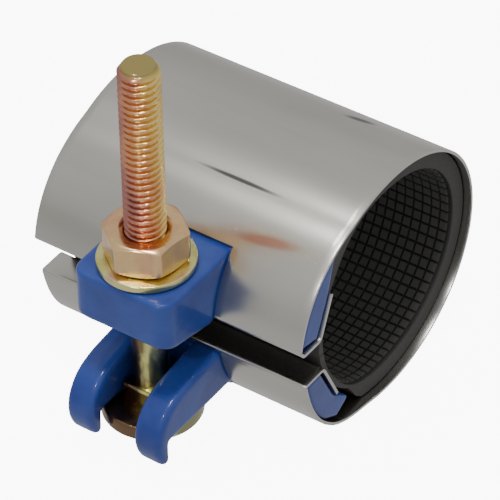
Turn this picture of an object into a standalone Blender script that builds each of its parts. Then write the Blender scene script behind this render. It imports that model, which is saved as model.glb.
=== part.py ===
"""Single-bolt pipe repair clamp, closed around an empty bore.

Frame: X runs along the pipe, the two lugs stand at -Y, and Z runs up the clamp bolt.
The origin is on the pipe's axis at the middle of the band's width.
The band springs open about its back, at +Y, so it is built as an upper and a lower half.
"""
import math

import bmesh
import bpy
from mathutils import Matrix, Vector

MM = 0.001

# Driving dimensions.
GAP = 0.3 * MM                  # clearance between neighbouring pieces
BAND_WIDTH = 76.2 * MM
BAND_THICKNESS = 0.8 * MM
RING_RADIUS = 34.3 * MM         # mean outer radius of the band as it stands, off the pipe
RING_OVAL = 1.9 * MM            # added at the back and taken off at the crown
GASKET_THICKNESS = 5.0 * MM
GASKET_INSET = 2.2 * MM         # the gasket ends this far inside each edge of the band
BOLT_DIAMETER = 10.0 * MM
BOLT_Y = -44.8 * MM             # bolt axis, outside the band
SEAT_Z = 20.3 * MM              # flat top of the upper lug, under the washer
FORK_SEAT_Z = -20.3 * MM        # underside of the fork, over the bolt head
BOLT_END_Z = 77.2 * MM

# Band folds and what they hold.
UPPER_FOLD_ANGLE = 172.0
LOWER_FOLD_ANGLE = 171.3
CREASE_ANGLE = 119.5            # where the skin bends outwards, onto the upper lug's bar
CREASE_SOFTNESS = 1.5           # how gradual that bend is, degrees
UPPER_FULL_LIFT_ANGLE = 165.0
UPPER_LIFT = 2.8 * MM           # how far the skin stands off the ring over the upper bar
LOWER_LIFT = 2.3 * MM
LOWER_FALL = 1.3 * MM
UPPER_INNER_FOLD = ((-29.8 * MM, 3.5 * MM), (-24.9 * MM, 14.6 * MM))
LOWER_INNER_FOLD = ((-28.6 * MM, -5.5 * MM), (-22.6 * MM, -17.6 * MM))
UPPER_WINDOW = ((-60, -2), (-36, -2), (-36, 5.2), (-32.5, 5.2), (-28.2, 15), (-26.2, 21.3), (-60, 21.3))  # mm
LOWER_WINDOW = ((-60, -6.6), (-30.2, -6.6), (-27.2, -14), (-27.2, -22.9), (-60, -22.9))  # mm
WINDOW_CLEARANCE = 0.4 * MM     # between a window's side and the lug that comes through it
HINGE_INSET = 2.5 * MM          # from the band's back to the axis that it springs about
HINGE_GAP_ANGLE = 0.7           # half of the slit between the band halves, degrees
GASKET_TONGUE_RADIUS = 27.7 * MM
GASKET_BORE_RADIUS = 25.6 * MM

# Upper lug block.
BLOCK_HALF_WIDTH = 13.7 * MM
BLOCK_FRONT_Y = -56.5 * MM
BLOCK_BACK_Y = -26.5 * MM
BOLT_SLOT_WIDTH = 12.0 * MM
BOLT_SLOT_LENGTH = 15.0 * MM

# Fork of the lower lug.
FINGER_INNER_X = 5.9 * MM
FINGER_OUTER_X = 13.6 * MM
WEB_HALF_WIDTH = 8.9 * MM       # the web joins the fingers and reaches a little into each

# Bolt head, neck, washer and nut.
HEAD_RADIUS = 12.4 * MM
HEAD_THICKNESS = 4.0 * MM
HEAD_DOME = 1.8 * MM
LEAN_Y = -53.0 * MM             # line on the head's front that the bolt leans about
THREAD_START_Z = 6.0 * MM
NECK_WIDTH = 10.4 * MM
NECK_HEIGHT = 5.0 * MM
WASHER_RADIUS = 11.8 * MM
WASHER_HOLE_RADIUS = 5.6 * MM
WASHER_THICKNESS = 1.9 * MM
NUT_ACROSS_FLATS = 18.4 * MM
NUT_HEIGHT = 8.4 * MM
NUT_TURN = 23.0                 # degrees that a corner stands off +X


def clear_scene():
    for item in list(bpy.data.objects):
        bpy.data.objects.remove(item, do_unlink=True)


def make_material(name, colour, roughness, metallic):
    material = bpy.data.materials.new(name)
    material.use_nodes = True
    shader = material.node_tree.nodes["Principled BSDF"]
    shader.inputs["Base Color"].default_value = (*colour, 1.0)
    shader.inputs["Roughness"].default_value = roughness
    shader.inputs["Metallic"].default_value = metallic
    return material


def link_object(name, mesh, material=None):
    piece = bpy.data.objects.new(name, mesh)
    bpy.context.scene.collection.objects.link(piece)
    if material:
        mesh.materials.append(material)
    return piece


def set_origin(piece, point):
    """Put a piece's origin on its joint's axis and leave its shape where it is."""
    offset = Vector(point)
    piece.data.transform(Matrix.Translation(-offset))
    piece.location = offset


def mesh_from(bm, name, smooth_angle=30.0):
    bmesh.ops.recalc_face_normals(bm, faces=bm.faces)
    mesh = bpy.data.meshes.new(name)
    bm.to_mesh(mesh)
    bm.free()
    mesh.shade_smooth()
    mesh.set_sharp_from_angle(angle=math.radians(smooth_angle))
    return mesh


def extrude_along_x(outline, x_start, x_end):
    """A closed bmesh solid from a (y, z) outline, between two places along X."""
    bm = bmesh.new()
    ring = [bm.verts.new((x_start, y, z)) for y, z in outline]
    face = bm.faces.new(ring)
    result = bmesh.ops.extrude_face_region(bm, geom=[face])
    moved = [item for item in result["geom"] if isinstance(item, bmesh.types.BMVert)]
    bmesh.ops.translate(bm, vec=(x_end - x_start, 0, 0), verts=moved)
    return bm


def extrude_along_z(outline, z_start, z_end):
    """A closed bmesh solid from an (x, y) outline, between two heights."""
    bm = bmesh.new()
    face = bm.faces.new([bm.verts.new((x, y, z_start)) for x, y in outline])
    result = bmesh.ops.extrude_face_region(bm, geom=[face])
    moved = [item for item in result["geom"] if isinstance(item, bmesh.types.BMVert)]
    bmesh.ops.translate(bm, vec=(0, 0, z_end - z_start), verts=moved)
    return bm


def hide_as_guide(piece):
    piece.hide_render = True
    piece.display_type = "WIRE"


def add_boolean(piece, other, operation):
    hide_as_guide(other)
    modifier = piece.modifiers.new(operation.title(), "BOOLEAN")
    modifier.operation = operation
    modifier.object = other
    modifier.solver = "EXACT"


def smooth_step(value, start, end):
    share = min(max((value - start) / (end - start), 0.0), 1.0)
    return share * share * (3.0 - 2.0 * share)


def polar(radius, angle):
    """A (y, z) point; the angle is in degrees from the back of the band, over the crown."""
    turn = math.radians(angle)
    return (radius * math.cos(turn), radius * math.sin(turn))


def ring_radius(angle):
    return RING_RADIUS + RING_OVAL * math.cos(math.radians(2.0 * angle))


def skin_radius(angle):
    """Outer radius of the band, which stands out where it passes over a lug bar."""
    if angle > 0:
        past_crease = angle - CREASE_ANGLE
        lifted = (past_crease + math.hypot(past_crease, CREASE_SOFTNESS)) / 2
        share = min(lifted / (UPPER_FULL_LIFT_ANGLE - CREASE_ANGLE), 1.0)
        return ring_radius(angle) + UPPER_LIFT * math.sin(share * math.pi / 2)
    away = -angle
    rise = LOWER_LIFT * smooth_step(away, 104, 135)
    return ring_radius(angle) + rise - LOWER_FALL * smooth_step(away, 140, 171)


def arc(radius_at, start, end, steps):
    """Points on a polar curve whose radius is a function of the angle."""
    angles = [start + (end - start) * step / steps for step in range(steps + 1)]
    return [polar(radius_at(angle), angle) for angle in angles]


def offset_path(path, distance):
    """Shift an open (y, z) path sideways, to its left, with mitred corners."""
    points = [Vector(point) for point in path]
    shifted = []
    for index, point in enumerate(points):
        before = (point - points[index - 1]).normalized() if index > 0 else None
        after = (points[index + 1] - point).normalized() if index < len(points) - 1 else None
        first = before or after
        second = after or before
        normal = (Vector((-first.y, first.x)) + Vector((-second.y, second.x))).normalized()
        stretch = 1.0 / max(normal.dot(Vector((-first.y, first.x))), 0.35)
        shifted.append(tuple(point + normal * distance * stretch))
    return shifted


def band_outline(side):
    """Section of one half of the band: the skin, then the fold back inside the lug bar."""
    upper = side > 0
    fold_angle = UPPER_FOLD_ANGLE if upper else LOWER_FOLD_ANGLE
    inner_fold = UPPER_INNER_FOLD if upper else LOWER_INNER_FOLD
    path = arc(skin_radius, side * HINGE_GAP_ANGLE, side * fold_angle, 34)
    if upper:
        nose = (path[-1][0] + 1.1 * MM, inner_fold[0][1] + 0.1 * MM)
        path.append(nose)
    path.extend(inner_fold)
    return path + offset_path(path, side * BAND_THICKNESS)[::-1]


def scaled(points):
    """Turn (y, z) points listed in millimetres into metres."""
    return [(y * MM, z * MM) for y, z in points]


def make_window(name, outline):
    """Cutter for the opening where a lug comes out through the band; the inner fold stays."""
    half = BLOCK_HALF_WIDTH + WINDOW_CLEARANCE
    return link_object(name, mesh_from(extrude_along_x(scaled(outline), -half, half), name))


def make_band_half(name, side, material):
    half = BAND_WIDTH / 2
    window = UPPER_WINDOW if side > 0 else LOWER_WINDOW
    mesh = mesh_from(extrude_along_x(band_outline(side), -half, half), name)
    band = link_object(name, mesh, material)
    add_boolean(band, make_window(name + "_cutter", window), "DIFFERENCE")
    return band


def gasket_bore(angle):
    """Bore radius of the gasket: it follows the oval ring, then thins under the lugs."""
    plain = ring_radius(angle) - BAND_THICKNESS - GAP - GASKET_THICKNESS
    share = smooth_step(abs(angle), 100, 145)
    return plain + (GASKET_BORE_RADIUS - plain) * share


def gasket_back(angle):
    """Outer radius of the gasket: under the skin, then under the folds and the lug bars."""
    plain = ring_radius(angle) - BAND_THICKNESS - GAP
    first, last = (126, 151) if angle > 0 else (106, 124)
    return plain + (GASKET_TONGUE_RADIUS - plain) * smooth_step(abs(angle), first, last)


def gasket_upper_outline():
    """Upper half, ending in a wedge that tapers from the inside."""
    wedge_start, wedge_end = 148.0, 168.0
    tip_radius = GASKET_TONGUE_RADIUS - 0.7 * MM
    outer = arc(gasket_back, HINGE_GAP_ANGLE, wedge_end, 30)
    inner = arc(gasket_bore, HINGE_GAP_ANGLE, wedge_start, 24)
    return outer + [polar(tip_radius, wedge_end)] + inner[::-1]


def gasket_lower_outline():
    """Lower half, whose tongue crosses the gap between the lugs and tapers from the outside."""
    taper_start, tongue_end = -174.0, -191.0
    tip_radius = GASKET_BORE_RADIUS + 0.6 * MM
    outer = arc(gasket_back, -HINGE_GAP_ANGLE, taper_start, 30)
    inner = arc(gasket_bore, -HINGE_GAP_ANGLE, tongue_end, 34)
    return outer + [polar(tip_radius, tongue_end)] + inner[::-1]


def make_gasket(name, outline, material):
    half = BAND_WIDTH / 2 - GASKET_INSET
    mesh = mesh_from(extrude_along_x(outline, -half, half), name)
    return link_object(name, mesh, material)


def under_skin(angle):
    return skin_radius(angle) - BAND_THICKNESS - GAP


def upper_bar_outline():
    """Section of the upper lug's bar, a wedge that fills the upper fold."""
    outer = arc(under_skin, 132, 171, 9)
    return outer + [(-30.6 * MM, 4.7 * MM), (-25.9 * MM, 15.1 * MM)]


def lower_bar_outline():
    """Section of the lower lug's bar, a lozenge that fills the lower fold."""
    outer = arc(under_skin, -140, -168.8, 7)
    return outer + [
        (-29.5 * MM, -6.7 * MM),
        (-23.6 * MM, -18.3 * MM),
        (-17.6 * MM, -22.8 * MM),
        (-22.6 * MM, -25.6 * MM),
    ]


def bevelled(bm, width, segments=2, only_steep=25.0):
    limit = math.radians(only_steep)
    edges = [edge for edge in bm.edges if edge.calc_face_angle(0) > limit]
    bmesh.ops.bevel(bm, geom=edges, offset=width, segments=segments, affect="EDGES", profile=0.5)
    return bm


def make_block_solid():
    """The upper lug's block: flat top, sides square to the band and a sloping underside."""
    root = scaled(((-38.4, 3.4), (-36.4, 5.0), (-31.2, 5.2), (-27.6, 13.2)))
    outline = [(BLOCK_FRONT_Y, 7.0 * MM), *root, (BLOCK_BACK_Y, SEAT_Z), (BLOCK_FRONT_Y, SEAT_Z)]
    bm = extrude_along_x(outline, -BLOCK_HALF_WIDTH, BLOCK_HALF_WIDTH)
    bmesh.ops.recalc_face_normals(bm, faces=bm.faces)
    upright = [
        edge for edge in bm.edges
        if all(vert.co.y < BLOCK_FRONT_Y + 1 * MM for vert in edge.verts)
        and abs(edge.verts[0].co.z - edge.verts[1].co.z) > 5 * MM
    ]
    bmesh.ops.bevel(bm, geom=upright, offset=4 * MM, segments=5, affect="EDGES", profile=0.5)
    return bevelled(bm, 0.9 * MM, 2)


def rounded_slot(width, length, centre_y, steps):
    """(x, y) outline of a slot whose long way runs along Y, with round ends."""
    radius = width / 2
    reach = (length - width) / 2
    points = []
    for index in range(2 * steps):
        turn = math.pi * (index + 0.5) / steps
        shift = reach if turn < math.pi else -reach
        points.append((radius * math.cos(turn), centre_y + shift + radius * math.sin(turn)))
    return points


def make_upper_lug(material):
    """One casting: the bar in the fold and the block that the bolt passes through."""
    half = BAND_WIDTH / 2 - 0.4 * MM
    bar = bevelled(extrude_along_x(upper_bar_outline(), -half, half), 0.25 * MM, 1, 60.0)
    lug = link_object("lug_upper", mesh_from(bar, "lug_upper"), material)
    block = link_object("block_guide", mesh_from(make_block_solid(), "block_guide"))
    add_boolean(lug, block, "UNION")
    slot = rounded_slot(BOLT_SLOT_WIDTH, BOLT_SLOT_LENGTH, BOLT_Y, 10)
    hole = link_object("bolt_slot_cutter", mesh_from(extrude_along_z(slot, 0, 30 * MM), "slot"))
    add_boolean(lug, hole, "DIFFERENCE")
    return lug


def curve_through(points, steps):
    """A smooth Catmull-Rom curve through (y, z) points, with equal steps between them."""
    knots = [Vector(points[0]), *[Vector(point) for point in points], Vector(points[-1])]
    curve = []
    for p0, p1, p2, p3 in zip(knots, knots[1:], knots[2:], knots[3:]):
        for step in range(steps):
            t = step / steps
            bend = (2 * p0 - 5 * p1 + 4 * p2 - p3) * t * t + (3 * p1 - p0 - 3 * p2 + p3) * t ** 3
            curve.append(tuple(p1 + ((p2 - p0) * t + bend) / 2))
    return curve + [tuple(points[-1])]


def finger_outline():
    """Side of one finger: out from the bar, over the bolt head and down in a hook."""
    back = curve_through((
        (-36.0, -7.2), (-44.0, -7.9), (-51.6, -9.0), (-56.6, -11.2), (-59.8, -15.0),
        (-60.9, -19.0), (-60.5, -22.8), (-59.0, -26.0), (-57.2, -26.8),
    ), 3)
    return scaled((
        (-30.2, -8.0), *back, (-56.5, -25.2), (-56.4, -20.3), (-31.7, -20.3),
        (-30.6, -22.4), (-25.6, -21.5), (-25.6, -17.8),
    ))


def make_finger(name, side):
    low, high = sorted((side * FINGER_INNER_X, side * FINGER_OUTER_X))
    bm = extrude_along_x(finger_outline(), low, high)
    bmesh.ops.recalc_face_normals(bm, faces=bm.faces)
    return link_object(name, mesh_from(bevelled(bm, 1.3 * MM, 2, 60.0), name))


def make_lower_lug(material):
    """One casting: the bar in the fold and two hooked fingers that straddle the bolt."""
    half = BAND_WIDTH / 2 - 0.4 * MM
    bar = bevelled(extrude_along_x(lower_bar_outline(), -half, half), 0.25 * MM, 1, 60.0)
    lug = link_object("lug_lower", mesh_from(bar, "lug_lower"), material)
    web_outline = scaled((
        (-30.3, -8.3), (-36.6, -8.2), (-37.4, -14.0), (-36.6, -20.0),
        (-31.4, -20.0), (-30.4, -22.0), (-25.7, -21.2), (-25.8, -17.7),
    ))
    web_mesh = mesh_from(extrude_along_x(web_outline, -WEB_HALF_WIDTH, WEB_HALF_WIDTH), "web")
    web = link_object("web_guide", web_mesh)
    add_boolean(lug, web, "UNION")
    for side, name in ((-1, "left_finger_guide"), (1, "right_finger_guide")):
        add_boolean(lug, make_finger(name, side), "UNION")
    return lug


def turned_solid(profile, segments):
    """Spin an (r, z) profile, listed top to bottom, once around the Z axis."""
    bm = bmesh.new()
    rings = []
    for radius, height in profile:
        if radius == 0:
            rings.append([bm.verts.new((0, 0, height))])
            continue
        ring = []
        for index in range(segments):
            turn = 2 * math.pi * index / segments
            ring.append(bm.verts.new((radius * math.cos(turn), radius * math.sin(turn), height)))
        rings.append(ring)
    for above, below in zip(rings, rings[1:]):
        for index in range(segments):
            follow = (index + 1) % segments
            if len(above) == 1:
                bm.faces.new((above[0], below[index], below[follow]))
            elif len(below) == 1:
                bm.faces.new((above[index], below[0], above[follow]))
            else:
                bm.faces.new((above[index], below[index], below[follow], above[follow]))
    return bm


def make_bolt(material):
    """Round-head bolt with a square neck, a plain shank and a threaded end."""
    bearing = FORK_SEAT_Z - GAP
    radius = BOLT_DIAMETER / 2
    shank = radius - 0.5 * MM
    profile = [
        (0, BOLT_END_Z),
        (radius - 1.1 * MM, BOLT_END_Z),
        (radius, BOLT_END_Z - 1.6 * MM),
        (radius, THREAD_START_Z),
        (shank, THREAD_START_Z - 1.0 * MM),
        (shank, bearing),
        (HEAD_RADIUS - 0.6 * MM, bearing),
        (HEAD_RADIUS, bearing - 0.5 * MM),
        (HEAD_RADIUS, bearing - HEAD_THICKNESS),
        (HEAD_RADIUS * 0.78, bearing - HEAD_THICKNESS - 0.7 * HEAD_DOME),
        (HEAD_RADIUS * 0.45, bearing - HEAD_THICKNESS - HEAD_DOME),
        (0, bearing - HEAD_THICKNESS - HEAD_DOME),
    ]
    bm = turned_solid(profile, 32)
    bolt = link_object("clamp_bolt", mesh_from(bm, "clamp_bolt"), material)
    half = NECK_WIDTH / 2
    square = [(-half, -half), (half, -half), (half, half), (-half, half)]
    neck_bm = extrude_along_z(square, bearing - 1 * MM, bearing + NECK_HEIGHT)
    neck = link_object("neck_guide", mesh_from(bevelled(neck_bm, 0.5 * MM, 1), "neck"))
    for piece in (bolt, neck):
        piece.data.transform(Matrix.Translation((0, BOLT_Y, 0)))
    add_boolean(bolt, neck, "UNION")
    return bolt


def make_washer(material):
    """Thick flat washer with rounded rims, resting on the upper lug."""
    low = SEAT_Z + GAP
    high = low + WASHER_THICKNESS
    rim = 0.4 * MM
    profile = [
        (WASHER_HOLE_RADIUS, high), (WASHER_RADIUS - rim, high), (WASHER_RADIUS, high - rim),
        (WASHER_RADIUS, low + rim), (WASHER_RADIUS - rim, low), (WASHER_HOLE_RADIUS, low),
        (WASHER_HOLE_RADIUS, high),
    ]
    bm = turned_solid(profile, 40)
    bmesh.ops.remove_doubles(bm, verts=bm.verts, dist=0.00001)
    bm.transform(Matrix.Translation((0, BOLT_Y, 0)))
    return link_object("washer", mesh_from(bm, "washer"), material)


def make_nut(material):
    """Heavy hexagon nut: a hexagon trimmed by the 30 degree chamfer of its top and foot."""
    low = SEAT_Z + 2 * GAP + WASHER_THICKNESS
    high = low + NUT_HEIGHT
    corner = NUT_ACROSS_FLATS / math.sqrt(3.0)
    turns = [math.radians(NUT_TURN + 60 * index) for index in range(6)]
    outline = [(corner * math.cos(t), corner * math.sin(t)) for t in turns]
    nut = link_object("nut", mesh_from(extrude_along_z(outline, low, high), "nut"), material)
    flat = NUT_ACROSS_FLATS / 2 - 0.1 * MM
    drop = (corner - flat) * math.tan(math.radians(30))
    trim_profile = [
        (0, high), (flat, high), (corner + 0.1 * MM, high - drop), (corner + 0.1 * MM, low + drop),
        (flat, low), (0, low),
    ]
    trim = link_object("nut_trim_guide", mesh_from(turned_solid(trim_profile, 48), "nut_trim"))
    hole_radius = BOLT_DIAMETER / 2 + GAP
    above, below = high + 5 * MM, low - 5 * MM
    hole_profile = [(0, above), (hole_radius, above), (hole_radius, below), (0, below)]
    hole = link_object("nut_hole_cutter", mesh_from(turned_solid(hole_profile, 32), "nut_hole"))
    for piece in (nut, trim, hole):
        piece.data.transform(Matrix.Translation((0, BOLT_Y, 0)))
    add_boolean(nut, trim, "INTERSECT")
    add_boolean(nut, hole, "DIFFERENCE")
    return nut


def build_clamp():
    clear_scene()
    stainless = make_material("stainless_steel", (0.62, 0.60, 0.55), 0.28, 1.0)
    rubber = make_material("black_rubber", (0.015, 0.015, 0.015), 0.75, 0.0)
    enamel = make_material("blue_enamel", (0.02, 0.06, 0.30), 0.25, 0.0)
    yellow_zinc = make_material("yellow_zinc", (0.70, 0.62, 0.25), 0.35, 1.0)
    pink_zinc = make_material("pink_zinc", (0.78, 0.52, 0.36), 0.35, 1.0)
    hinge = (0, ring_radius(0) - HINGE_INSET, 0)
    for piece in (
        make_band_half("band_upper", 1, stainless),
        make_gasket("gasket_upper", gasket_upper_outline(), rubber),
        make_upper_lug(enamel),
    ):
        set_origin(piece, hinge)
    make_band_half("band_lower", -1, stainless)
    make_gasket("gasket_lower", gasket_lower_outline(), rubber)
    make_lower_lug(enamel)
    set_origin(make_bolt(pink_zinc), (0, LEAN_Y, FORK_SEAT_Z))
    for piece in (make_washer(yellow_zinc), make_nut(pink_zinc)):
        set_origin(piece, (0, BOLT_Y, SEAT_Z))


build_clamp()
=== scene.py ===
# %% [markdown]
# # A single-bolt pipe repair clamp
# This lesson dresses a finished, movable clamp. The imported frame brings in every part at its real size
# and place. We build the visible surfaces around it: a folded stainless band, a waffle-moulded rubber
# gasket, two enamelled castings, and a plated bolt, washer and nut.

# %% Load the frame
import math
import bmesh
import bpy
from mathutils import Matrix, Vector, noise


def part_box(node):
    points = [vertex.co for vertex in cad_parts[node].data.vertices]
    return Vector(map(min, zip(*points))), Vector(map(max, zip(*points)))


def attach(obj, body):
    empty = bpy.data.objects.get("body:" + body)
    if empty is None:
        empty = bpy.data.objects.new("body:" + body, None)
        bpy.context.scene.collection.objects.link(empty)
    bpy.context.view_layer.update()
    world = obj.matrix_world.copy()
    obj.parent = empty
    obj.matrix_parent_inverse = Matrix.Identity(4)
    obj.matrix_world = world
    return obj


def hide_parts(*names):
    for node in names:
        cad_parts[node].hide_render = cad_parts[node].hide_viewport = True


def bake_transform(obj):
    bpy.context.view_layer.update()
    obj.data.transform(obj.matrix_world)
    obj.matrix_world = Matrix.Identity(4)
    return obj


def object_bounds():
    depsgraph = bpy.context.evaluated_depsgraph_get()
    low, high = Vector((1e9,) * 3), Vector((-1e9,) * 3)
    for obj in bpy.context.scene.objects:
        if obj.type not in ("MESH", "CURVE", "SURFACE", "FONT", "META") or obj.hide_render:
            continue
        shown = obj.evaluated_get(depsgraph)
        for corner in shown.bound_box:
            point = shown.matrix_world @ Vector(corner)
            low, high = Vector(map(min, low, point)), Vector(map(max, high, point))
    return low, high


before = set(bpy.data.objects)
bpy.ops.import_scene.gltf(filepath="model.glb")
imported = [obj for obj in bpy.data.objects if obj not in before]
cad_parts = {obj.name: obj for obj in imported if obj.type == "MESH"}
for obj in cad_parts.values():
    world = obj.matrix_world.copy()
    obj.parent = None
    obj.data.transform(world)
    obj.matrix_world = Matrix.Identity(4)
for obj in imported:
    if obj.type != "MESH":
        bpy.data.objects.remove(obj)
cad_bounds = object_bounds()
MM = 0.001

# %% [markdown]
# ## Measure the frame
# A good visual model never guesses where things are. The band's half widths give the oval ring that the
# sheet was rolled to, and the washer and bolt boxes give the screw's axis and heights.

# %% Read sizes from the frame
band_low, band_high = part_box("band_upper")
bolt_low, bolt_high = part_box("clamp_bolt")
washer_low, washer_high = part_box("washer")
nut_low, nut_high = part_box("nut")
BAND_HALF = band_high.x
RING_RADIUS = (band_high.y + band_high.z) / 2
RING_OVAL = (band_high.y - band_high.z) / 2
BAND_THICKNESS = 0.8 * MM
GAP = 0.3 * MM
GASKET_THICKNESS = 5.0 * MM
BOLT_Y = (washer_low.y + washer_high.y) / 2
print(f"ring {RING_RADIUS / MM:.2f} mm, oval {RING_OVAL / MM:.2f} mm, bolt axis y {BOLT_Y / MM:.1f} mm")

# %% [markdown]
# ## Camera
# A long lens from the front right and well above keeps the parallel edges nearly parallel, as in a
# catalogue shot. The camera looks at the pipe's axis, and a small shift sets the framing.

# %% Place the camera
CAMERA_AZIMUTH = math.radians(35.16)
CAMERA_ELEVATION = math.radians(39.78)
CAMERA_ROLL = math.radians(-0.97)
CAMERA_DISTANCE = 0.8727
CAMERA_LENS = 261.0
CAMERA_SENSOR = 36.0
CAMERA_SHIFT = (-0.0175, -0.0484)


def aim_camera():
    flat = math.cos(CAMERA_ELEVATION)
    back = Vector((
        math.sin(CAMERA_AZIMUTH) * flat,
        -math.cos(CAMERA_AZIMUTH) * flat,
        math.sin(CAMERA_ELEVATION),
    ))
    right = Vector((math.cos(CAMERA_AZIMUTH), math.sin(CAMERA_AZIMUTH), 0))
    up = back.cross(right)
    level = Matrix((right, up, back)).transposed().to_4x4()
    data = bpy.data.cameras.new("camera")
    data.lens = CAMERA_LENS
    data.sensor_width = CAMERA_SENSOR
    data.shift_x, data.shift_y = CAMERA_SHIFT
    camera = bpy.data.objects.new("camera", data)
    bpy.context.scene.collection.objects.link(camera)
    turned = level @ Matrix.Rotation(CAMERA_ROLL, 4, "Z")
    camera.matrix_world = Matrix.Translation(back * CAMERA_DISTANCE) @ turned
    bpy.context.scene.camera = camera
    return camera


camera = aim_camera()
print("camera at", [round(value, 3) for value in camera.matrix_world.translation])

# %% [markdown]
# ## Mesh and material helpers
# Every piece is a plain mesh at the origin, so one helper links a mesh and shades it smooth with sharp
# edges kept. A second helper starts a node material and hands back its shader, so each finish below only
# has to say what is special about it.

# %% Define the helpers
def take_mesh(bm, name):
    """Turn a finished bmesh into a mesh and free it."""
    mesh = bpy.data.meshes.new(name)
    bm.to_mesh(mesh)
    bm.free()
    return mesh


def add_piece(name, mesh, material, sharp_angle=35.0):
    mesh.shade_smooth()
    mesh.set_sharp_from_angle(angle=math.radians(sharp_angle))
    mesh.materials.clear()
    mesh.materials.append(material)
    piece = bpy.data.objects.new(name, mesh)
    bpy.context.scene.collection.objects.link(piece)
    return piece


def apply_modifiers(piece):
    """Turn a piece's evaluated shape into its plain mesh and drop the modifiers."""
    bpy.context.view_layer.update()
    evaluated = piece.evaluated_get(bpy.context.evaluated_depsgraph_get())
    mesh = bpy.data.meshes.new_from_object(evaluated)
    piece.modifiers.clear()
    piece.data = mesh
    return mesh


def start_material(name, colour, roughness, metallic=0.0):
    material = bpy.data.materials.new(name)
    material.use_nodes = True
    shader = material.node_tree.nodes["Principled BSDF"]
    shader.inputs["Base Color"].default_value = (*colour, 1.0)
    shader.inputs["Roughness"].default_value = roughness
    shader.inputs["Metallic"].default_value = metallic
    return material, shader


def add_noise(material, scale, detail=4.0, stretch=(1, 1, 1), roughness=0.55):
    """Noise on Object coordinates, stretched along an axis by a Mapping node."""
    nodes, links = material.node_tree.nodes, material.node_tree.links
    place = nodes.new("ShaderNodeTexCoord")
    mapping = nodes.new("ShaderNodeMapping")
    mapping.inputs["Scale"].default_value = stretch
    texture = nodes.new("ShaderNodeTexNoise")
    texture.inputs["Scale"].default_value = scale
    texture.inputs["Detail"].default_value = detail
    texture.inputs["Roughness"].default_value = roughness
    links.new(place.outputs["Object"], mapping.inputs["Vector"])
    links.new(mapping.outputs["Vector"], texture.inputs["Vector"])
    return texture.outputs["Fac"]


def add_ramp(material, source, stops):
    """A colour ramp; stops are (position, colour) pairs."""
    ramp = material.node_tree.nodes.new("ShaderNodeValToRGB")
    elements = ramp.color_ramp.elements
    elements[0].position, elements[0].color = stops[0][0], (*stops[0][1], 1)
    elements[1].position, elements[1].color = stops[-1][0], (*stops[-1][1], 1)
    for position, colour in stops[1:-1]:
        element = elements.new(position)
        element.color = (*colour, 1)
    material.node_tree.links.new(source, ramp.inputs["Fac"])
    return ramp.outputs["Color"]


def add_range(material, source, low, high):
    """Map a 0 to 1 value onto a range."""
    node = material.node_tree.nodes.new("ShaderNodeMapRange")
    node.inputs["To Min"].default_value = low
    node.inputs["To Max"].default_value = high
    material.node_tree.links.new(source, node.inputs["Value"])
    return node.outputs["Result"]


def add_mix(material, factor, first, second, blend="MIX"):
    """Mix two colours; each may be a socket or a plain colour."""
    node = material.node_tree.nodes.new("ShaderNodeMix")
    node.data_type = "RGBA"
    node.blend_type = blend
    links = material.node_tree.links
    for value, socket in ((factor, node.inputs[0]), (first, node.inputs[6]), (second, node.inputs[7])):
        if isinstance(value, bpy.types.NodeSocket):
            links.new(value, socket)
        elif isinstance(value, float):
            socket.default_value = value
        else:
            socket.default_value = (*value, 1)
    return node.outputs[2]


def add_bump(material, shader, height, strength, distance):
    bump = material.node_tree.nodes.new("ShaderNodeBump")
    bump.inputs["Strength"].default_value = strength
    bump.inputs["Distance"].default_value = distance
    material.node_tree.links.new(height, bump.inputs["Height"])
    material.node_tree.links.new(bump.outputs["Normal"], shader.inputs["Normal"])
    return bump


def add_edge_wear(material, low, high):
    """1 along convex edges and 0 on flats, from Geometry's Pointiness."""
    geometry = material.node_tree.nodes.new("ShaderNodeNewGeometry")
    node = material.node_tree.nodes.new("ShaderNodeMapRange")
    node.inputs["From Min"].default_value = low
    node.inputs["From Max"].default_value = high
    material.node_tree.links.new(geometry.outputs["Pointiness"], node.inputs["Value"])
    return node.outputs["Result"]


print("helpers ready")

# %% [markdown]
# ## The band's section
# One strip of sheet runs from the fold in the lower lug, round the back and over the crown, to the fold
# in the upper lug. At each end it turns back inside the casting. A list of points on the outer face
# describes that path: a formula for the long round part, and small arcs where the sheet is bent.

# %% Describe the path of the sheet
UPPER_FOLD_ANGLE = 172.0
LOWER_FOLD_ANGLE = 171.3
CREASE_ANGLE = 119.5
CREASE_SOFTNESS = 1.5
UPPER_FULL_LIFT_ANGLE = 165.0
UPPER_LIFT = 2.8 * MM
LOWER_LIFT = 2.3 * MM
LOWER_FALL = 1.3 * MM
LOWER_LIFT_ANGLES = (104, 135)
LOWER_FALL_ANGLES = (140, 171)
UPPER_NOSE = (-37.0 * MM, 3.6 * MM)
UPPER_INNER_FOLD = ((-29.8 * MM, 3.5 * MM), (-24.9 * MM, 14.6 * MM))
LOWER_INNER_FOLD = ((-28.6 * MM, -5.5 * MM), (-22.6 * MM, -17.6 * MM))
WINDOW_HALF = 14.1 * MM
UPPER_WINDOW_Z = (5.2 * MM, 21.3 * MM)
LOWER_WINDOW_Z = (-22.9 * MM, -6.6 * MM)
LOWER_BEND_RADII = (1.3 * MM, 0.9 * MM)
UPPER_BEND_RADII = (0.5 * MM, 0.8 * MM, 1.3 * MM)
LOWER_BEND_SPAN = 2.5
UPPER_BEND_SPAN = 1.2
WINDOW_SEARCH_ANGLE = 95.0


def smooth_step(value, start, end):
    share = min(max((value - start) / (end - start), 0.0), 1.0)
    return share * share * (3.0 - 2.0 * share)


def polar(radius, angle):
    """A (y, z) point; the angle is in degrees from the back of the band, over the crown."""
    turn = math.radians(angle)
    return Vector((radius * math.cos(turn), radius * math.sin(turn)))


def ring_radius(angle):
    return RING_RADIUS + RING_OVAL * math.cos(math.radians(2.0 * angle))


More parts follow.
